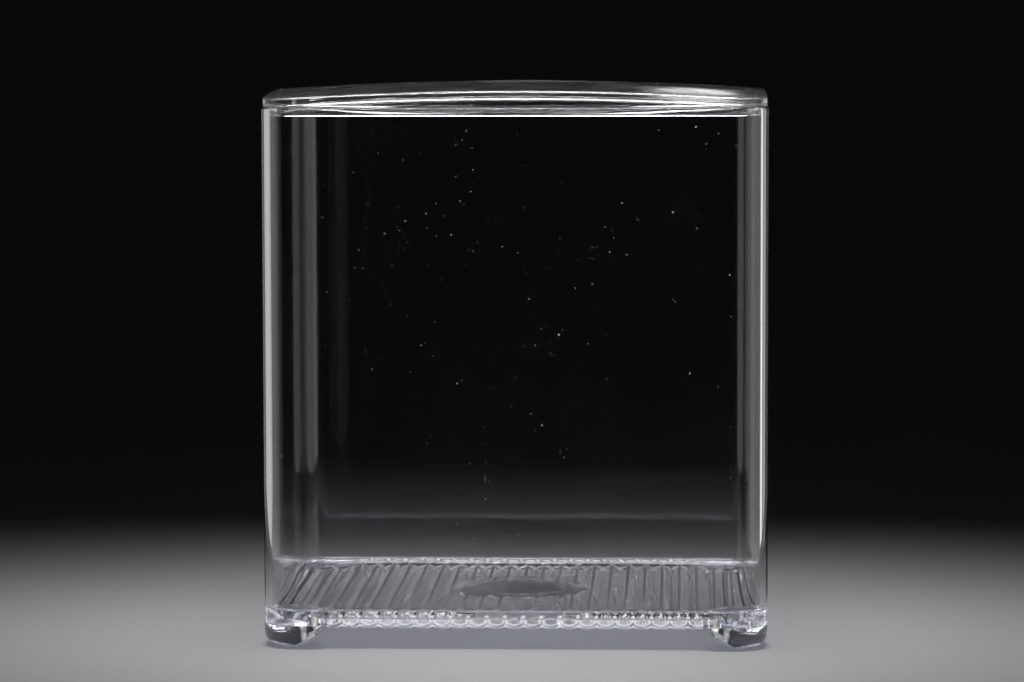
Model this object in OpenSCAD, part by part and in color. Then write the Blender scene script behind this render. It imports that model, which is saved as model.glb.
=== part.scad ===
// Clear card deck box: an open-topped box with rounded upright corners, a plug-in lid with a shallow domed top,
// and four clear dome feet bonded under the corners. Millimetres, +Z up, front towards -Y,
// origin on the resting plane under the middle of the box.

/* [Box] */
// Outside width of the box, left to right
box_w = 100; // [80:0.5:140]
// Outside depth of the box, front to back
box_d = 78; // [60:0.5:110]
// Height of the rim above the resting plane
rim_z = 106.7; // [70:0.1:160]
// Thickness of the four walls
wall = 1.5; // [1.2:0.1:2.4]
// Outside radius of the upright corners
corner_r = 7; // [5:0.25:10]
// Radius of the outer edge along the bottom of the walls
bottom_edge_r = 0.7; // [0.3:0.1:1.2]

/* [Floor] */
// Height of the underside of the floor plate above the resting plane
floor_under_z = 6; // [5.5:0.1:8]
// Thickness of the floor plate, without the reeds
floor_t = 1.35; // [1:0.05:2.5]
// Spacing of the reeds moulded under the floor
reed_pitch = 3.6; // [3:0.1:5]
// Radius of the round underside of each reed
reed_r = 3.1; // [2.7:0.1:4]
// Height of the lowest line of the reeds above the resting plane
reed_crest_z = 3.9; // [3.4:0.1:4.4]
// Radius of the smooth round spot in the middle of the reeds
spot_r = 14.3; // [10:0.1:18]
// Radius of the raised disc inside that spot
gate_disc_r = 9.3; // [6:0.1:9.5]

/* [Feet] */
// Radius of the ball shape of each foot
foot_r = 9.6; // [8.5:0.1:11]
// Distance of the middle of each foot from the two outer faces of the box
foot_in = 4.5; // [3.5:0.1:6]
// Height at which the feet are bonded to the box
bond_z = 4.6; // [4.5:0.1:4.9]
// Radius of the outer bottom edge of each foot, where it follows the outline of the box
foot_edge_r = 3; // [1.5:0.1:3.5]
// Depth cut off the bottom of each ball to make its flat land
foot_land = 0.2; // [0.1:0.05:0.4]

/* [Lid] */
// How far the edge of the lid stands inside the outer faces of the box
lid_inset = 0.35; // [0:0.05:0.8]
// Thickness of the domed plate of the lid
lid_t = 1.5; // [1.2:0.1:2.2]
// Gap between the rim of the box and the underside of the lid's edge
seat_gap = 0.15; // [0.05:0.05:0.3]
// Height of the middle of the dome above the rim of the box
dome_h = 4.9; // [4.7:0.1:7]
// Radius of the dome across the width
dome_rx = 740; // [720:10:1500]
// Radius of the dome across the depth
dome_ry = 430; // [400:10:700]
// Depth of the plug ring below the rim of the box
plug_depth = 1.7; // [1:0.1:4]
// Thickness of the plug ring
plug_t = 1.2; // [0.8:0.1:2]
// Clearance between the plug ring and the walls, on each side
plug_gap = 0.15; // [0.1:0.05:0.3]

/* [Hidden] */
$fn = 96;
clear_plastic = [0.86, 0.88, 0.92, 0.35];
clear_foot = [0.80, 0.83, 0.90, 0.5];
floor_top_z = floor_under_z + floor_t;
apex_z = rim_z + dome_h;
flange_z = rim_z + seat_gap;
plug_z = rim_z - plug_depth;
plug_in = wall + plug_gap;
foot_x = box_w / 2 - foot_in;
foot_y = box_d / 2 - foot_in;
pad_r = sqrt(foot_r * foot_r - pow(foot_r - foot_land - bond_z, 2));
reed_count = 2 * floor((box_w / 2 - wall) / reed_pitch + 0.5) + 1;
signs = [-1, 1];

// outline of the box seen from above, moved in by e
module outline(e) {
    w = box_w - 2 * e;
    d = box_d - 2 * e;
    r = corner_r - e;
    union() {
        square([w, d - 2 * r], center = true);
        square([w - 2 * r, d], center = true);
        for (sx = signs, sy = signs) translate([sx * (w / 2 - r), sy * (d / 2 - r)]) circle(r);
    }
}

// upright block on that outline, from z0 to z1
module block(e, z0, z1) {
    translate([0, 0, z0]) linear_extrude(z1 - z0) outline(e);
}

// half section of a block with its bottom edge rounded to radius q, reach wide
module rounded_section(reach, z0, z1, q) {
    union() {
        translate([0, z0 + q]) square([reach, z1 - z0 - q]);
        translate([0, z0]) square([reach - q, q]);
        intersection() {
            translate([reach - q, z0 + q]) circle(q);
            translate([reach - q, z0]) square([q, q]);
        }
    }
}

// the same upright block with its bottom edge rounded all the way round
module rounded_block(z0, z1, q) {
    cx = box_w / 2 - corner_r;
    cy = box_d / 2 - corner_r;
    union() {
        translate([-cx, -cy, z0]) cube([2 * cx, 2 * cy, z1 - z0]);
        for (k = [[1, 1, 0], [-1, 1, 90], [-1, -1, 180], [1, -1, 270]])
            translate([k[0] * cx, k[1] * cy, 0]) rotate([0, 0, k[2]]) rotate_extrude(angle = 90) rounded_section(corner_r, z0, z1, q);
        for (k = [[0, cx, cy], [90, cy, cx], [180, cx, cy], [270, cy, cx]])
            rotate([0, 0, k[0]]) translate([k[1], k[2], 0]) rotate([90, 0, 0]) linear_extrude(2 * k[2]) rounded_section(corner_r, z0, z1, q);
    }
}

// end view of the reeds: a row of overlapping rounds, cut off level with the floor plate
module reed_rows() {
    half = (reed_count - 1) / 2;
    intersection() {
        for (i = [-half : half]) translate([i * reed_pitch, reed_crest_z + reed_r]) circle(reed_r);
        translate([-box_w / 2, reed_crest_z - 1]) square([box_w, floor_under_z + 0.3 - reed_crest_z + 1]);
    }
}

module reeds() {
    difference() {
        intersection() {
            translate([0, box_d / 2, 0]) rotate([90, 0, 0]) linear_extrude(box_d) reed_rows();
            block(wall + 0.3, reed_crest_z - 1, floor_under_z + 0.3);
        }
        for (sx = signs, sy = signs) translate([sx * foot_x, sy * foot_y, 0]) cylinder(r = pad_r + 0.5, h = floor_under_z);
        cylinder(r = spot_r, h = floor_under_z - 0.7);
    }
}

// thick spots at the corners that the feet are bonded to
module foot_pads() {
    intersection() {
        rounded_block(bond_z, floor_under_z + 1, 0.15);
        for (sx = signs, sy = signs) translate([sx * foot_x, sy * foot_y, bond_z - 1]) cylinder(r = pad_r, h = floor_under_z - bond_z + 1.8);
    }
}

module box_body() {
    color(clear_plastic) union() {
        difference() {
            rounded_block(floor_under_z, rim_z, bottom_edge_r);
            block(wall, floor_top_z, rim_z + 1);
        }
        reeds();
        foot_pads();
        translate([0, 0, floor_under_z - 1.1]) cylinder(r = gate_disc_r, h = 1.3);
    }
}

// the solid under a shallow dome, t below its outer surface
module under_dome(t) {
    translate([0, 0, apex_z - dome_rx]) rotate([90, 0, 0]) rotate([0, 0, 84])
        rotate_extrude(angle = 12, $fn = 2880) intersection() {
            translate([dome_rx - dome_ry, 0]) circle(dome_ry - t, $fn = 2880);
            translate([dome_rx - 20, -box_d / 2 - 5]) square([21, box_d + 10]);
        }
}

module lid() {
    color(clear_plastic) difference() {
        union() {
            intersection() {
                block(lid_inset, flange_z, apex_z + 1);
                under_dome(0);
            }
            block(plug_in, plug_z, flange_z + 0.6);
        }
        intersection() {
            block(plug_in + plug_t, plug_z - 1, apex_z);
            under_dome(lid_t);
        }
    }
}

// one foot: a ball cut flat below and level with the bond above, trimmed to the rounded outline of the box
module foot(sx, sy) {
    color(clear_foot) intersection() {
        translate([sx * foot_x, sy * foot_y, foot_r - foot_land]) sphere(foot_r);
        rounded_block(0, bond_z, foot_edge_r);
    }
}

box_body();
lid();
foot(-1, -1);  // foot_front_left
foot(1, -1);  // foot_front_right
foot(-1, 1);  // foot_rear_left
foot(1, 1);  // foot_rear_right
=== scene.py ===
import math

import bpy
import numpy as np
from mathutils import Matrix, Vector


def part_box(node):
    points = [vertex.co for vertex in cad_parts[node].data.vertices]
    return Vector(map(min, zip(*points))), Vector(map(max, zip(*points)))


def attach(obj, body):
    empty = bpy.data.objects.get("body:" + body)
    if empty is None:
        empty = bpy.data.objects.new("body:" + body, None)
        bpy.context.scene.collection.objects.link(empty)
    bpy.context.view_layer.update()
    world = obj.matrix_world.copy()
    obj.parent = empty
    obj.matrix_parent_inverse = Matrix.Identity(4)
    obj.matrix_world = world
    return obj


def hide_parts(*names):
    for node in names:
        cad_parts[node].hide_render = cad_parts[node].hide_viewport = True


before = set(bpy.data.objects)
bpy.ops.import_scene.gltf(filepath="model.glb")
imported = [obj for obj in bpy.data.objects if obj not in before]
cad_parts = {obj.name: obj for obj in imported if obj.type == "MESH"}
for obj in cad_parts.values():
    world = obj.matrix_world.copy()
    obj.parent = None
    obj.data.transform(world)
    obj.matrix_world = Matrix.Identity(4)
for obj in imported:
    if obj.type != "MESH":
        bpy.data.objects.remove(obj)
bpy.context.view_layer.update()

MM = 0.001

# ---------------------------------------------------------------- sizes, in millimetres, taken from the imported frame
b_lo, b_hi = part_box("box_body")
l_lo, l_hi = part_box("lid")
f_lo, f_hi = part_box("foot_front_right")
W = (b_hi.x - b_lo.x) / MM
D = (b_hi.y - b_lo.y) / MM
RIM = b_hi.z / MM
BOND = f_hi.z / MM
LID_LOW = l_lo.z / MM
LID_TOP = l_hi.z / MM
CREST = 3.9
REED_R = 3.1
PITCH = 3.6
UNDER = 6.0
FLOOR = 7.35
WALL = 1.5
CORNER = 7.0
EDGE_B = 0.7
SPOT_R = 14.3
DISC_R = 9.3
FOOT_R = 9.6
FOOT_IN = 4.5
LAND = 0.2
FOOT_EDGE = 3.0
LID_IN = 0.35
LID_T = 1.5
FLANGE = RIM + 0.15
PLUG_IN = WALL + 0.15
PLUG_T = 1.2
DOME_RX = 740.0
DOME_RY = 430.0
APEX = RIM + 4.9
FX, FY = W / 2 - FOOT_IN, D / 2 - FOOT_IN
PAD_R = math.sqrt(FOOT_R ** 2 - (FOOT_R - LAND - BOND) ** 2)


# ---------------------------------------------------------------- mesh helpers
def outline(e, n_arc=18, nx=10, ny=8):
    """Points of the rounded outline moved in by e, counter-clockwise, always in the same order."""
    w, d, r = W / 2 - e, D / 2 - e, CORNER - e
    pts = []
    for k, (sx, sy) in enumerate(((1, 1), (-1, 1), (-1, -1), (1, -1))):
        cx, cy = sx * (w - r), sy * (d - r)
        for i in range(n_arc + 1):
            a = math.pi / 2 * (k + i / n_arc)
            pts.append((cx + r * math.cos(a), cy + r * math.sin(a)))
        nxt = ((-1, 1), (-1, -1), (1, -1), (1, 1))[k]
        ex, ey = nxt[0] * (w - r), nxt[1] * (d - r)
        a = math.pi / 2 * (k + 1)
        p = np.array(pts[-1])
        q = np.array((ex + r * math.cos(a), ey + r * math.sin(a)))
        n = nx if k % 2 == 0 else ny
        for i in range(1, n):
            pts.append(tuple(p + (q - p) * i / n))
    return np.array(pts)


def loop(e, z, **kw):
    o = outline(e, **kw)
    return np.column_stack([o, np.full(len(o), z)])


def arc(e0, z0, r, a0, a1, n):
    """Loops round a fillet: centre at inset e0, height z0. Angles in degrees, 0 pointing outwards, 90 up."""
    out = []
    for i in range(n + 1):
        a = math.radians(a0 + (a1 - a0) * i / n)
        out.append((e0 - r * math.cos(a), z0 + r * math.sin(a)))
    return out


def to_object(name, verts, faces):
    mesh = bpy.data.meshes.new(name)
    mesh.from_pydata([tuple(v) for v in np.asarray(verts) * MM], [], faces)
    mesh.validate()
    mesh.update()
    ob = bpy.data.objects.new(name, mesh)
    bpy.context.scene.collection.objects.link(ob)
    return ob


def loft(name, loops, cap_first="ngon", cap_last="ngon"):
    """Closed skin over loops with the same number of points. A cap is one face, or rings shrinking to a middle point."""
    n = len(loops[0])
    verts = [v for lp in loops for v in lp]
    faces = []
    for k in range(len(loops) - 1):
        a, b = k * n, (k + 1) * n
        for i in range(n):
            j = (i + 1) % n
            faces.append((a + i, a + j, b + j, b + i))
    if cap_first == "ngon":
        faces.append(tuple(reversed(range(n))))
    elif cap_first == "point":
        c = len(verts)
        verts.append(np.mean(loops[0], axis=0))
        faces += [((i + 1) % n, i, c) for i in range(n)]
    if cap_last == "ngon":
        base = (len(loops) - 1) * n
        faces.append(tuple(base + i for i in range(n)))
    elif cap_last == "point":
        base = (len(loops) - 1) * n
        c = len(verts)
        verts.append(np.mean(loops[-1], axis=0))
        faces += [(base + i, base + (i + 1) % n, c) for i in range(n)]
    return to_object(name, verts, faces)


def baked(ob):
    """ob with its modifiers applied."""
    dg = bpy.context.evaluated_depsgraph_get()
    mesh = bpy.data.meshes.new_from_object(ob.evaluated_get(dg))
    ob.modifiers.clear()
    old = ob.data
    ob.data = mesh
    bpy.data.meshes.remove(old)
    return ob


def boolean(ob, other, op, drop=True):
    m = ob.modifiers.new("bool", "BOOLEAN")
    m.operation = op
    m.object = other
    m.solver = "MANIFOLD"
    baked(ob)
    if drop:
        bpy.data.objects.remove(other)
    return ob


def finish_mesh(ob, angle=34.0):
    """Sharp edges by angle, flat faces kept flat, the rest smooth."""
    mesh = ob.data
    mesh.shade_smooth()
    mesh.set_sharp_from_angle(angle=math.radians(angle))
    m = ob.modifiers.new("normals", "WEIGHTED_NORMAL")
    m.mode = "FACE_AREA"
    m.weight = 60
    m.keep_sharp = True
    return baked(ob)


def cylinder(name, x, y, r, z0, z1, n=128):
    a = np.linspace(0, 2 * np.pi, n, endpoint=False)
    ring = lambda z: np.column_stack([x + r * np.cos(a), y + r * np.sin(a), np.full(n, z)])
    return loft(name, [ring(z0), ring(z1)])


def rounded_block(name, z0, z1, q, n=6, **kw):
    """The box's outline as an upright block with its bottom edge rounded to radius q."""
    prof = arc(q, z0 + q, q, -90, 0, n) + [(0.0, z1)]
    return loft(name, [loop(e, z, **kw) for e, z in prof])


# ---------------------------------------------------------------- box body
def make_box():
    rf = 0.34
    prof = []
    prof += arc(EDGE_B, UNDER + EDGE_B, EDGE_B, -90, 0, 5)
    prof += arc(rf, RIM - rf, rf, 0, 90, 4)
    prof += arc(WALL - rf, RIM - rf, rf, 90, 180, 4)
    rb = 0.9
    prof += [(WALL + rb - rb * math.cos(math.radians(a)), FLOOR + rb - rb * math.sin(math.radians(a))) for a in (0, 18, 36, 54, 72, 90)]
    shell = loft("box_shell", [loop(e, z) for e, z in prof])

    # reeds: one prism with a scalloped underside, trimmed to the cavity's outline
    half = 13
    xs = []
    for i in range(-half, half + 1):
        a_half = math.asin(PITCH / 2 / REED_R)
        for k in range(17):
            a = -a_half + 2 * a_half * k / 16
            if k == 16 and i < half:
                continue
            xs.append((i * PITCH + REED_R * math.sin(a), CREST + REED_R - REED_R * math.cos(a)))
    top = UNDER + 0.25
    section = [(xs[-1][0], top), (xs[0][0], top)]
    prof2 = xs + section
    n = len(prof2)
    y0 = D / 2
    verts = [(x, -y0, z) for x, z in prof2] + [(x, y0, z) for x, z in prof2]
    faces = [(i, (i + 1) % n, n + (i + 1) % n, n + i)[::-1] for i in range(n)]
    faces.append(tuple(range(n)))
    faces.append(tuple(reversed(range(n, 2 * n))))
    reeds = to_object("reeds", verts, faces)
    e = WALL + 0.3
    q = 0.7
    prof3 = [(e + q - q * math.cos(math.radians(a)), CREST - 0.05 + q - q * math.sin(math.radians(a))) for a in (90, 67, 45, 22, 0)] + [(e, top)]
    trim = loft("trim", [loop(a, b) for a, b in prof3])
    boolean(reeds, trim, "INTERSECT")
    for sx in (-1, 1):
        for sy in (-1, 1):
            boolean(reeds, cylinder("c", sx * FX, sy * FY, PAD_R + 0.5, 0, UNDER + 0.05), "DIFFERENCE")
    boolean(reeds, cylinder("c", 0, 0, SPOT_R, 0, UNDER - 0.7), "DIFFERENCE")
    boolean(shell, reeds, "UNION")

    for sx in (-1, 1):
        for sy in (-1, 1):
            pad = rounded_block("pad", BOND, UNDER + 0.8, 0.15, n=3)
            boolean(pad, cylinder("c", sx * FX, sy * FY, PAD_R, BOND - 1, UNDER + 2), "INTERSECT")
            boolean(shell, pad, "UNION")
    disc = cylinder("disc", 0, 0, DISC_R, UNDER - 1.1, UNDER + 0.2)
    boolean(shell, disc, "UNION")
    shell.name = "box_body_clear"
    return finish_mesh(shell)


# ---------------------------------------------------------------- lid
def dome(x, y, drop=0.0):
    """Height of the dome: the outer part of a ring surface, curved by DOME_RX across and DOME_RY in depth."""
    rho = (DOME_RX - DOME_RY) + np.sqrt((DOME_RY - drop) ** 2 - y ** 2)
    return APEX - DOME_RX + np.sqrt(rho ** 2 - x ** 2)


def make_lid():
    def dome_loop(e, down=0.0, drop=0.0, scale=1.0, **kw):
        o = outline(e, **kw) * scale
        return np.column_stack([o, dome(o[:, 0], o[:, 1], drop) - down])

    q = 0.34
    loops = []
    # rings from the middle of the underside out to the plug, down and round it, out to the edge, up and over the top
    e_in = PLUG_IN + PLUG_T
    qi = 0.6
    for s in np.linspace(0.04, 0.985, 22):
        loops.append(dome_loop(e_in + qi, 0.0, LID_T, s))
    for a in (90, 68, 45, 22, 0):
        c, s = math.cos(math.radians(a)), math.sin(math.radians(a))
        loops.append(dome_loop(e_in + qi - qi * c, qi - qi * s, LID_T))
    q = 0.5
    for ee, z in ([(e_in - q + q * math.cos(math.radians(a)), LID_LOW + q - q * math.sin(math.radians(a))) for a in (0, 30, 60, 90)]
                  + [(PLUG_IN + q - q * math.cos(math.radians(a)), LID_LOW + q - q * math.sin(math.radians(a))) for a in (90, 60, 30, 0)]):
        loops.append(loop(ee, z))
    loops.append(loop(PLUG_IN, FLANGE))
    q = 0.34
    for a in (90, 60, 30, 0):
        loops.append(loop(LID_IN + q - q * math.cos(math.radians(a)), FLANGE + q - q * math.sin(math.radians(a))))
    qt = 0.3
    for a in (0, 22, 45, 68, 90):
        c, s = math.cos(math.radians(a)), math.sin(math.radians(a))
        loops.append(dome_loop(LID_IN + qt - qt * c, qt - qt * s))
    for s in np.linspace(0.985, 0.04, 26):
        loops.append(dome_loop(LID_IN + qt, 0.0, 0.0, s))
    lid = loft("lid_clear", loops, cap_first="point", cap_last="point")
    return finish_mesh(lid, 30)


# ---------------------------------------------------------------- feet
def make_foot(name, sx, sy):
    nu, nv = 144, 72
    verts = []
    cz = FOOT_R - LAND
    for v in range(1, nv):
        t = math.pi * v / nv
        for u in range(nu):
            a = 2 * math.pi * u / nu
            verts.append((sx * FX + FOOT_R * math.sin(t) * math.cos(a), sy * FY + FOOT_R * math.sin(t) * math.sin(a), cz - FOOT_R * math.cos(t)))
    lo, hi = len(verts), len(verts) + 1
    verts += [(sx * FX, sy * FY, cz - FOOT_R), (sx * FX, sy * FY, cz + FOOT_R)]
    faces = []
    for v in range(nv - 2):
        for u in range(nu):
            a, b = v * nu + u, v * nu + (u + 1) % nu
            faces.append((a, b, b + nu, a + nu))
    for u in range(nu):
        faces.append((lo, (u + 1) % nu, u))
        k = (nv - 2) * nu
        faces.append((hi, k + u, k + (u + 1) % nu))
    ball = to_object(name, verts, faces)
    block = rounded_block("block", 0.0, BOND - 0.015, FOOT_EDGE, n=14)
    boolean(ball, block, "INTERSECT")
    ball.name = name
    return finish_mesh(ball, 38)


# ---------------------------------------------------------------- materials
def node(nt, kind, **values):
    n = nt.nodes.new(kind)
    for k, v in values.items():
        if hasattr(n, k) and k not in n.inputs:
            setattr(n, k, v)
        else:
            n.inputs[k].default_value = v
    return n


def link(nt, a, b):
    nt.links.new(a, b)


def ramp(nt, source, lo, hi, out_lo=0.0, out_hi=1.0):
    m = nt.nodes.new("ShaderNodeMapRange")
    m.inputs["From Min"].default_value = lo
    m.inputs["From Max"].default_value = hi
    m.inputs["To Min"].default_value = out_lo
    m.inputs["To Max"].default_value = out_hi
    link(nt, source, m.inputs["Value"])
    return m.outputs["Result"]


def maths(nt, op, a, b=None):
    m = nt.nodes.new("ShaderNodeMath")
    m.operation = op
    for i, v in enumerate((a, b)):
        if v is None:
            continue
        if isinstance(v, (int, float)):
            m.inputs[i].default_value = v
        else:
            link(nt, v, m.inputs[i])
    return m.outputs[0]


def clear_plastic(name, tint, dust_amount=1.0, seed=0.0, rough_lo=0.004, rough_hi=0.05, haze=0.0, haze_color=(0.80, 0.81, 0.90), wave=0.08, speck=0.2, scuff=None, shade=(0.90, 0.905, 0.92), flat=(1, 1, 1), highlight_paint=None):
    """Clear moulded polystyrene: faint rubbing, dust specks and hairlines, the slow waviness of a moulded wall, and
    optionally painted highlights of white scatter.
    """
    mat = bpy.data.materials.new(name)
    mat.use_nodes = True
    nt = mat.node_tree
    out = next(n for n in nt.nodes if n.type == "OUTPUT_MATERIAL")
    p = next(n for n in nt.nodes if n.type == "BSDF_PRINCIPLED")
    p.inputs["IOR"].default_value = 1.585
    p.inputs["Transmission Weight"].default_value = 1.0
    coord = nt.nodes.new("ShaderNodeTexCoord").outputs["Object"]

    def mapped(scale=(1, 1, 1), loc=(0, 0, 0), rot=(0, 0, 0)):
        mp = nt.nodes.new("ShaderNodeMapping")
        mp.inputs["Scale"].default_value = scale
        mp.inputs["Location"].default_value = loc
        mp.inputs["Rotation"].default_value = rot
        link(nt, coord, mp.inputs["Vector"])
        return mp.outputs["Vector"]

    # dust specks: the middles of scattered cells, most of them switched off
    def specks(scale, radius, keep, shift, stretch=(1, 1, 1)):
        v = nt.nodes.new("ShaderNodeTexVoronoi")
        v.inputs["Scale"].default_value = scale
        v.inputs["Randomness"].default_value = 1.0
        link(nt, mapped(stretch, (seed + shift, 2 * shift, -shift)), v.inputs["Vector"])
        sep = nt.nodes.new("ShaderNodeSeparateColor")
        link(nt, v.outputs["Color"], sep.inputs["Color"])
        size = ramp(nt, sep.outputs["Green"], 0.0, 1.0, radius * 0.35, radius)
        inside = maths(nt, "LESS_THAN", v.outputs["Distance"], size)
        on = maths(nt, "LESS_THAN", sep.outputs["Red"], keep)
        return maths(nt, "MULTIPLY", inside, on)

    # dust gathers in drifts
    dr = nt.nodes.new("ShaderNodeTexNoise")
    dr.inputs["Scale"].default_value = 45.0
    dr.inputs["Detail"].default_value = 2.0
    link(nt, mapped(loc=(seed, 0, 3)), dr.inputs["Vector"])
    drift = ramp(nt, dr.outputs["Fac"], 0.35, 0.7, 0.3, 2.2)
    d1 = specks(900.0, 0.16, 0.026 * dust_amount, 3.1, flat)
    d2 = specks(2400.0, 0.24, 0.022 * dust_amount, 7.7, flat)
    d3 = specks(420.0, 0.045, 0.05 * dust_amount, 5.3, (1.0, 1.0, 4.0))
    d4 = specks(420.0, 0.045, 0.05 * dust_amount, 9.9, (4.0, 4.0, 1.0))
    dust = maths(nt, "MAXIMUM", maths(nt, "MAXIMUM", d1, d2), maths(nt, "MAXIMUM", d3, d4))
    dust = maths(nt, "MULTIPLY", maths(nt, "MULTIPLY", dust, drift), speck)
    if scuff:
        dust = maths(nt, "MINIMUM", maths(nt, "ADD", dust, scuff(nt, coord)), 0.9)

    # fine rubbing: soft cloudy patches and hairlines of slightly duller surface
    nz = nt.nodes.new("ShaderNodeTexNoise")
    nz.inputs["Scale"].default_value = 60.0
    nz.inputs["Detail"].default_value = 6.0
    nz.inputs["Roughness"].default_value = 0.7
    link(nt, mapped(loc=(seed, 1, 2)), nz.inputs["Vector"])
    rub = ramp(nt, nz.outputs["Fac"], 0.42, 0.72, rough_lo, rough_hi)
    rough = maths(nt, "MINIMUM", maths(nt, "MAXIMUM", rub, maths(nt, "MULTIPLY", dust, 1.6)), 0.7)
    link(nt, rough, p.inputs["Roughness"])
    # painted highlights: the optional pattern paints white scatter that stands in for refraction highlights
    if highlight_paint:
        solid = maths(nt, "MAXIMUM", dust, highlight_paint(nt, coord))
    else:
        solid = maths(nt, "MAXIMUM", dust, haze) if haze else dust
    link(nt, maths(nt, "SUBTRACT", 1.0, solid), p.inputs["Transmission Weight"])
    col = nt.nodes.new("ShaderNodeMix")
    col.data_type = "RGBA"
    col.inputs[6].default_value = (*(haze_color if haze else tint), 1)
    col.inputs[7].default_value = (0.9, 0.9, 0.88, 1)
    link(nt, maths(nt, "GREATER_THAN", dust, 0.004), col.inputs[0])
    link(nt, col.outputs[2], p.inputs["Base Color"])

    # slow waviness of the moulded walls, drawn out upwards
    wv = nt.nodes.new("ShaderNodeTexNoise")
    wv.inputs["Scale"].default_value = 30.0
    wv.inputs["Detail"].default_value = 1.0
    link(nt, mapped((1, 1, 0.12), (seed, 5, 0)), wv.inputs["Vector"])
    bp = nt.nodes.new("ShaderNodeBump")
    bp.inputs["Strength"].default_value = wave
    bp.inputs["Distance"].default_value = 0.00008
    link(nt, wv.outputs["Fac"], bp.inputs["Height"])
    link(nt, bp.outputs["Normal"], p.inputs["Normal"])

    # lamps shine through clear plastic
    lp = nt.nodes.new("ShaderNodeLightPath")
    tr = nt.nodes.new("ShaderNodeBsdfTransparent")
    tr.inputs["Color"].default_value = (*shade, 1)
    mx = nt.nodes.new("ShaderNodeMixShader")
    link(nt, lp.outputs["Is Shadow Ray"], mx.inputs[0])
    link(nt, p.outputs[0], mx.inputs[1])
    link(nt, tr.outputs[0], mx.inputs[2])
    link(nt, mx.outputs[0], out.inputs["Surface"])
    return mat


def window(nt, value, lo, hi, soft):
    """1 between lo and hi, falling softly to 0 outside, over soft."""
    up = ramp(nt, value, lo - soft, lo + soft)
    down = ramp(nt, value, hi - soft, hi + soft, 1.0, 0.0)
    return maths(nt, "MULTIPLY", up, down)


def reed_end_painted_highlights(nt, coord):
    """Painted highlights on the ends of the reeds: white scatter in a bright arc round each one, a fainter one inside,
    blocks between them above and a faint white over the whole end, standing in for refraction highlights.
    """
    sep = nt.nodes.new("ShaderNodeSeparateXYZ")
    link(nt, coord, sep.inputs["Vector"])
    turns = maths(nt, "DIVIDE", sep.outputs["X"], PITCH * MM)
    off = maths(nt, "MULTIPLY", maths(nt, "SUBTRACT", turns, maths(nt, "ROUND", turns)), PITCH)
    z = maths(nt, "MULTIPLY", sep.outputs["Z"], 1000.0)
    dz = maths(nt, "SUBTRACT", z, CREST + REED_R)
    r = maths(nt, "SQRT", maths(nt, "ADD", maths(nt, "MULTIPLY", off, off), maths(nt, "MULTIPLY", dz, dz)))
    outer = maths(nt, "MULTIPLY", window(nt, r, REED_R - 0.30, REED_R + 0.5, 0.06), 0.92)
    inner = maths(nt, "MULTIPLY", window(nt, r, REED_R - 1.05, REED_R - 0.78, 0.07), 0.75)
    side = maths(nt, "ABSOLUTE", off)
    block = maths(nt, "MULTIPLY", window(nt, side, 1.15, 1.62, 0.12), window(nt, z, 5.05, 5.95, 0.1))
    block = maths(nt, "MULTIPLY", block, 0.8)
    total = maths(nt, "MAXIMUM", maths(nt, "MAXIMUM", outer, inner), block)
    return maths(nt, "MAXIMUM", total, 0.16)


def floor_edge_painted_highlights(nt, coord):
    """Painted highlights along the front and rear edges of the floor plate: a white bar over each groove between the
    reeds and a small lens over each reed, standing in for refraction highlights.
    """
    sep = nt.nodes.new("ShaderNodeSeparateXYZ")
    link(nt, coord, sep.inputs["Vector"])
    turns = maths(nt, "DIVIDE", sep.outputs["X"], PITCH * MM)
    off = maths(nt, "MULTIPLY", maths(nt, "SUBTRACT", turns, maths(nt, "ROUND", turns)), PITCH)
    z = maths(nt, "MULTIPLY", sep.outputs["Z"], 1000.0)
    bar = maths(nt, "MULTIPLY", window(nt, maths(nt, "ABSOLUTE", off), 1.42, 1.95, 0.1), window(nt, z, 5.75, 6.95, 0.12))
    u = maths(nt, "DIVIDE", off, 0.95)
    v = maths(nt, "DIVIDE", maths(nt, "SUBTRACT", z, 6.22), 0.30)
    e = maths(nt, "SQRT", maths(nt, "ADD", maths(nt, "MULTIPLY", u, u), maths(nt, "MULTIPLY", v, v)))
    lens = ramp(nt, e, 0.75, 1.1, 0.85, 0.0)
    total = maths(nt, "MAXIMUM", maths(nt, "MULTIPLY", bar, 0.7), lens)
    edge = window(nt, maths(nt, "ABSOLUTE", sep.outputs["Y"]), (D / 2 - 0.3) * MM, (D / 2 + 1.0) * MM, 0.0001)
    run = window(nt, maths(nt, "ABSOLUTE", sep.outputs["X"]), -1.0, (FX - PAD_R) * MM, 0.0006)
    return maths(nt, "MULTIPLY", total, maths(nt, "MULTIPLY", edge, run))


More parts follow.
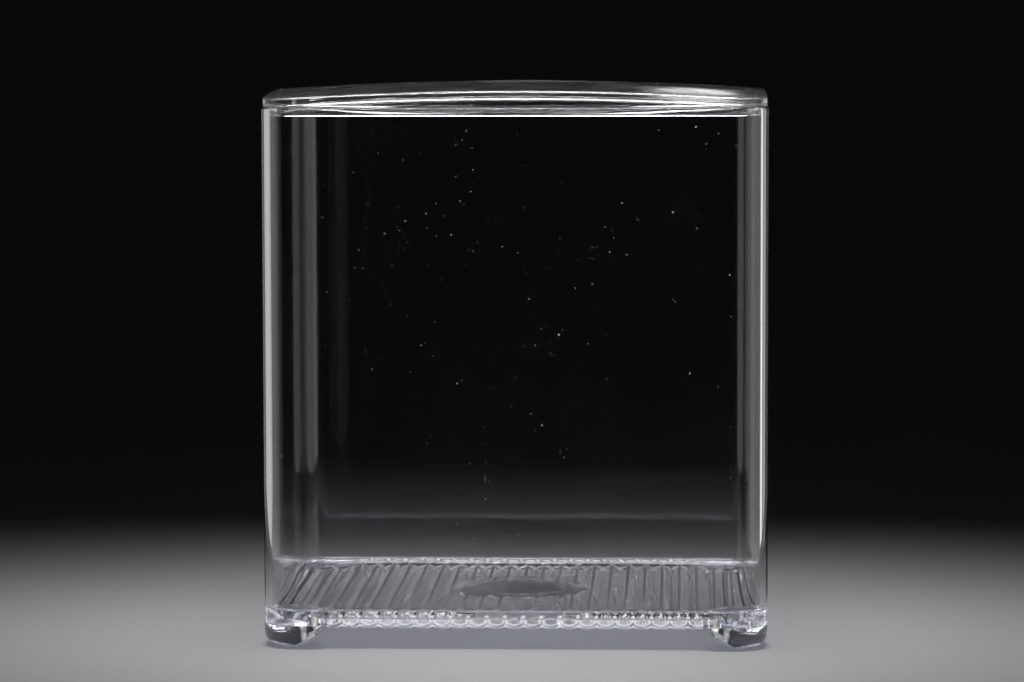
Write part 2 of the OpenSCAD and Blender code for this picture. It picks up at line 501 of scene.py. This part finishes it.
def lid_scuffs(nt, coord):
    """Handling marks on the lid's top: fine dust all over, a scratched patch near one front corner and a smear round the gate."""
    sep = nt.nodes.new("ShaderNodeSeparateXYZ")
    link(nt, coord, sep.inputs["Vector"])
    geo = nt.nodes.new("ShaderNodeNewGeometry")
    up = nt.nodes.new("ShaderNodeSeparateXYZ")
    link(nt, geo.outputs["Normal"], up.inputs["Vector"])
    top = maths(nt, "MULTIPLY", ramp(nt, up.outputs["Z"], 0.5, 0.8), ramp(nt, sep.outputs["Z"], 0.1072, 0.1076))

    def streaks(scale, rot, lo, hi):
        mp = nt.nodes.new("ShaderNodeMapping")
        mp.inputs["Scale"].default_value = scale
        mp.inputs["Rotation"].default_value = (0, 0, math.radians(rot))
        link(nt, coord, mp.inputs["Vector"])
        n = nt.nodes.new("ShaderNodeTexNoise")
        n.inputs["Scale"].default_value = 1000.0
        n.inputs["Detail"].default_value = 4.0
        n.inputs["Roughness"].default_value = 0.7
        link(nt, mp.outputs["Vector"], n.inputs["Vector"])
        return ramp(nt, n.outputs["Fac"], lo, hi)

    patch = maths(nt, "MULTIPLY", window(nt, sep.outputs["X"], 0.0275, 0.0425, 0.004), window(nt, sep.outputs["Y"], -0.034, -0.021, 0.004))
    marks = maths(nt, "MAXIMUM", streaks((0.15, 2.3, 0.2), 7, 0.51, 0.63), maths(nt, "MULTIPLY", streaks((0.28, 1.9, 0.2), -12, 0.53, 0.65), 0.8))
    patch = maths(nt, "MULTIPLY", patch, marks)
    gate = maths(nt, "MULTIPLY", window(nt, sep.outputs["X"], -0.006, 0.007, 0.003), window(nt, sep.outputs["Y"], -0.004, 0.012, 0.004))
    gate = maths(nt, "MULTIPLY", gate, streaks((1.3, 0.9, 0.2), -5, 0.42, 0.75))
    fine = streaks((1.8, 1.3, 0.5), 8, 0.35, 0.80)
    total = maths(nt, "ADD", maths(nt, "MULTIPLY", patch, 0.42), maths(nt, "MULTIPLY", gate, 0.10))
    total = maths(nt, "ADD", total, maths(nt, "MULTIPLY", fine, 0.020))
    return maths(nt, "MULTIPLY", total, top)


def milky(name, color, streak=(1, 1, 1), rot=(0, 0, 0), lo=0.40, hi=0.60, most=0.7, least=0.04):
    """A thin irregular milky film inside clear plastic: streaks of white scatter with clear gaps."""
    mat = bpy.data.materials.new(name)
    mat.use_nodes = True
    nt = mat.node_tree
    out = next(n for n in nt.nodes if n.type == "OUTPUT_MATERIAL")
    p = next(n for n in nt.nodes if n.type == "BSDF_PRINCIPLED")
    p.inputs["Base Color"].default_value = (*color, 1)
    p.inputs["Roughness"].default_value = 0.6
    p.inputs["Specular IOR Level"].default_value = 0.0
    coord = nt.nodes.new("ShaderNodeTexCoord").outputs["Object"]
    mp = nt.nodes.new("ShaderNodeMapping")
    mp.inputs["Scale"].default_value = streak
    mp.inputs["Rotation"].default_value = rot
    link(nt, coord, mp.inputs["Vector"])
    nz = nt.nodes.new("ShaderNodeTexNoise")
    nz.inputs["Scale"].default_value = 420.0
    nz.inputs["Detail"].default_value = 5.0
    nz.inputs["Roughness"].default_value = 0.65
    nz.inputs["Distortion"].default_value = 1.2
    link(nt, mp.outputs["Vector"], nz.inputs["Vector"])
    f = ramp(nt, nz.outputs["Fac"], lo, hi, least, most)
    tr = nt.nodes.new("ShaderNodeBsdfTransparent")
    mx = nt.nodes.new("ShaderNodeMixShader")
    link(nt, f, mx.inputs[0])
    link(nt, tr.outputs[0], mx.inputs[1])
    link(nt, p.outputs[0], mx.inputs[2])
    link(nt, mx.outputs[0], out.inputs["Surface"])
    return mat


TINT = (0.972, 0.976, 0.99)
# the floor plate's front and rear edges get painted highlights: white bars and lenses standing in for refraction
# highlights
mat_box = clear_plastic("clear_box_plastic", TINT, 0.3, 0.0, speck=0.18, highlight_paint=floor_edge_painted_highlights)
mat_reed = clear_plastic("clear_box_reeds", TINT, 0.5, 4.0, 0.004, 0.06, 0.006, shade=(0.52, 0.53, 0.58))
# reed ends: white scatter in arcs and blocks is painted highlight standing in for refraction highlights; the haze
# colour is its white
mat_reed_end = clear_plastic("clear_reed_ends", TINT, 0.6, 6.0, 0.05, 0.3, 0.62, (0.93, 0.93, 0.98), shade=(0.7, 0.71, 0.75), highlight_paint=reed_end_painted_highlights)
mat_lid = clear_plastic("clear_lid_plastic", TINT, 2.2, 11.0, speck=0.5, scuff=lid_scuffs, flat=(1, 0.45, 1))
mat_foot = clear_plastic("clear_foot_plastic", TINT, 0.6, 23.0, wave=0.05)
mat_bond = clear_plastic("clear_foot_bond", TINT, 0.6, 31.0, 0.05, 0.25, 0.03, (0.86, 0.87, 0.95))
mat_film = milky("bond_film", (0.86, 0.87, 0.97), (1.0, 1.0, 0.35), (0.0, math.radians(38), 0.0))

def dress(ob, mats, pick=None):
    ob.data.materials.clear()
    for m in mats:
        ob.data.materials.append(m)
    if pick:
        for poly in ob.data.polygons:
            poly.material_index = pick(poly.center / MM, poly.normal)


box = make_box()
def box_part(c, n):
    if c.z > UNDER - 0.02 or abs(c.x) > W / 2 - 1.2 or abs(c.y) > D / 2 - 1.2:
        return 0
    # faces on the ends of the reeds get the material with painted highlight arcs
    if abs(c.y) > D / 2 - 3.0 and abs(c.x) < FX - PAD_R and abs(n.y) > 0.12:
        return 2
    return 1 if n.z < -0.3 else 0


dress(box, [mat_box, mat_reed, mat_reed_end], box_part)
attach(box, "box")
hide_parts("box_body")

lid = make_lid()
dress(lid, [mat_lid])
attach(lid, "lid")
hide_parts("lid")


def make_film(name, sx, sy):
    """The cement that has crept up the wall of the corner above a foot: a thin wavy skin just inside the plastic."""
    nu, nz_ = 60, 16
    e = 0.55
    r = CORNER - e
    cx, cy = W / 2 - e - r, D / 2 - e - r
    # distance along the outline, from the side wall round the corner to the front wall
    side, turn, front = 3.0, r * math.pi / 2, 4.2
    total = side + turn + front
    outer, inner = [], []
    for skin, store in ((0.0, outer), (0.09, inner)):
        for i in range(nu + 1):
            u = total * i / nu
            if u < side:
                px, py, nx_, ny_ = cx + r, cy - (side - u), 1.0, 0.0
            elif u < side + turn:
                a = (u - side) / r
                px, py, nx_, ny_ = cx + r * math.cos(a), cy + r * math.sin(a), math.cos(a), math.sin(a)
            else:
                px, py, nx_, ny_ = cx - (u - side - turn), cy + r, 0.0, 1.0
            t = i / nu
            top = 7.2 - 2.45 * max(0.0, (t - 0.42) / 0.58) ** 1.15 - 0.25 * math.sin(9 * t + sx) ** 2
            low = 4.66 + 0.10 * math.sin(23 * t + sy) ** 2
            for k in range(nz_ + 1):
                z = low + (max(top, low + 0.12) - low) * k / nz_
                w = 0.16 * math.sin(2.1 * z + 7 * t) + 0.10 * math.sin(17 * t - 3.0 * z)
                px2, py2 = px - nx_ * (skin + 0.26 + w), py - ny_ * (skin + 0.26 + w)
                store.append((sx * px2, sy * py2, z))
    m = nz_ + 1
    verts = outer + inner
    base = len(outer)
    faces = []
    for i in range(nu):
        for k in range(nz_):
            a, b_, c, d = i * m + k, (i + 1) * m + k, (i + 1) * m + k + 1, i * m + k + 1
            faces.append((a, b_, c, d))
            faces.append((base + a, base + d, base + c, base + b_))
        faces.append((i * m, base + i * m, base + (i + 1) * m, (i + 1) * m))
        faces.append((i * m + nz_, (i + 1) * m + nz_, base + (i + 1) * m + nz_, base + i * m + nz_))
    for k in range(nz_):
        faces.append((k, k + 1, base + k + 1, base + k))
        q = nu * m
        faces.append((q + k, base + q + k, base + q + k + 1, q + k + 1))
    if sx * sy < 0:
        faces = [f[::-1] for f in faces]
    ob = to_object(name, verts, faces)
    ob.data.shade_smooth()
    return ob


for name, sx, sy in (("front_left", -1, -1), ("front_right", 1, -1), ("rear_left", -1, 1), ("rear_right", 1, 1)):
    foot = make_foot("foot_" + name + "_clear", sx, sy)
    dress(foot, [mat_foot, mat_bond], lambda c, n: 1 if c.z > BOND - 0.1 and n.z > 0.5 else 0)
    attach(foot, "box")
    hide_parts("foot_" + name)
    film = make_film("bond_film_" + name, sx, sy)
    dress(film, [mat_film])
    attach(film, "box")

# ---------------------------------------------------------------- floor
def make_floor():
    """A wide plain floor that sweeps up into a plain wall all round."""
    n = 128
    a = np.linspace(0, 2 * np.pi, n, endpoint=False)
    R, q = 1700.0, 500.0
    prof = [(R, 0.0)] + [(R + q * math.sin(math.radians(t)), q - q * math.cos(math.radians(t))) for t in range(6, 91, 6)] + [(R + q, 2200.0)]
    prof += [(R + q + 20.0, 2200.0), (R + q + 20.0, -20.0)]
    loops = [np.column_stack([r * np.cos(a), r * np.sin(a), np.full(n, z)]) for r, z in prof]
    ob = loft("pale_floor", loops)
    ob.data.flip_normals()
    ob.data.shade_smooth()
    ob.data.set_sharp_from_angle(angle=math.radians(40))
    mat = bpy.data.materials.new("pale_floor")
    mat.use_nodes = True
    p = next(n for n in mat.node_tree.nodes if n.type == "BSDF_PRINCIPLED")
    p.inputs["Base Color"].default_value = (0.66, 0.66, 0.665, 1)
    p.inputs["Roughness"].default_value = 0.8
    p.inputs["Specular IOR Level"].default_value = 0.1
    ob.data.materials.append(mat)
    return ob


floor = make_floor()

# ---------------------------------------------------------------- light
world = bpy.data.worlds.new("studio")
bpy.context.scene.world = world
world.use_nodes = True
bg = world.node_tree.nodes["Background"]
bg.inputs["Color"].default_value = (0.006, 0.006, 0.007, 1)
bg.inputs["Strength"].default_value = 1.0


def area(name, loc, target, w, h, power, color=(1, 1, 1)):
    ld = bpy.data.lights.new(name, "AREA")
    ld.shape = "RECTANGLE"
    ld.size = w * MM
    ld.size_y = h * MM
    ld.energy = power
    ld.color = color
    ob = bpy.data.objects.new(name, ld)
    bpy.context.scene.collection.objects.link(ob)
    ob.location = Vector(loc) * MM
    d = (Vector(target) - Vector(loc)).normalized()
    ob.rotation_euler = d.to_track_quat("-Z", "Y").to_euler()
    ob.visible_camera = False
    return ob


def softbox(name, loc, target, w, h, power, spread, color=(1, 1, 1)):
    ob = area(name, loc, target, w, h, power, color)
    ob.data.spread = math.radians(spread)
    return ob


def only_on_object(light, some=None):
    """The lamp lights the object, or some of its pieces, and leaves the floor to the others."""
    coll = bpy.data.collections.new("lit_by_" + light.name)
    for ob in some or [o for o in bpy.context.scene.objects if o.type == "MESH" and o != floor]:
        coll.objects.link(ob)
    light.light_linking.receiver_collection = coll
    return light


def panel(name, side, y0, y1, radiance, color=(1.0, 0.995, 0.97)):
    """An upright soft panel standing beside the box, from y0 to y1, given by its brightness."""
    x, z0, z1 = side * 171.0, 1.0, 119.0
    w, h = y1 - y0, z1 - z0
    power = radiance * math.pi * (w * MM) * (h * MM)
    y, z = (y0 + y1) / 2, (z0 + z1) / 2
    return only_on_object(area(name, (x, y, z), (0, y, z), w, h, power, color))


WARM = (1.0, 0.99, 0.95)
panel("panel_left_near", -1, -120, -76, 0.30)
panel("panel_left_front", -1, -76, -30, 0.85)
panel("panel_left_mid", -1, -30, 36, 0.42)
panel("panel_left_far", -1, 36, 190, 0.50, WARM)
panel("panel_right_near", 1, -120, -40, 1.0)
panel("panel_right_mid", 1, -40, 25, 0.42)
panel("panel_right_rear", 1, 25, 60, 1.1, WARM)
panel("panel_right_far", 1, 60, 190, 0.26, WARM)
only_on_object(softbox("back_high", (0, 340, 430), (0, 0, 60), 420, 110, 0.31, 60))
only_on_object(softbox("front_mid", (0, -200, 430), (0, -20, 60), 260, 110, 0.16, 60))
only_on_object(softbox("front_high", (0, -340, 430), (0, -20, 60), 420, 110, 0.64, 70))
only_on_object(softbox("pool", (0, -30, 430), (0, -30, 0), 240, 130, 0.09, 38), [floor])

# ---------------------------------------------------------------- camera
cam_d = bpy.data.cameras.new("camera")
cam = bpy.data.objects.new("camera", cam_d)
bpy.context.scene.collection.objects.link(cam)
F = 3819.8
cam_d.sensor_fit = "HORIZONTAL"
cam_d.sensor_width = 36.0
cam_d.lens = F / 1024 * 36.0
cam_d.clip_start = 0.01
cam_d.clip_end = 20.0
yaw, pitch, roll = 0.04481, 0.08075, -0.0020
fwd = Vector((-math.sin(yaw) * math.cos(pitch), math.cos(yaw) * math.cos(pitch), -math.sin(pitch)))
right = Vector((math.cos(yaw), math.sin(yaw), 0))
up = right.cross(fwd)
r2 = right * math.cos(roll) + up * math.sin(roll)
u2 = up * math.cos(roll) - right * math.sin(roll)
m = Matrix((r2, u2, -fwd)).transposed().to_4x4()
m.translation = Vector((33.08, -782.98, 121.45)) * MM
cam.matrix_world = m
bpy.context.scene.camera = cam

scene = bpy.context.scene
scene.view_settings.view_transform = "Standard"
scene.cycles.max_bounces = 32
scene.cycles.transmission_bounces = 28
scene.cycles.glossy_bounces = 20
scene.cycles.transparent_max_bounces = 24
scene.cycles.caustics_reflective = False
scene.cycles.caustics_refractive = False
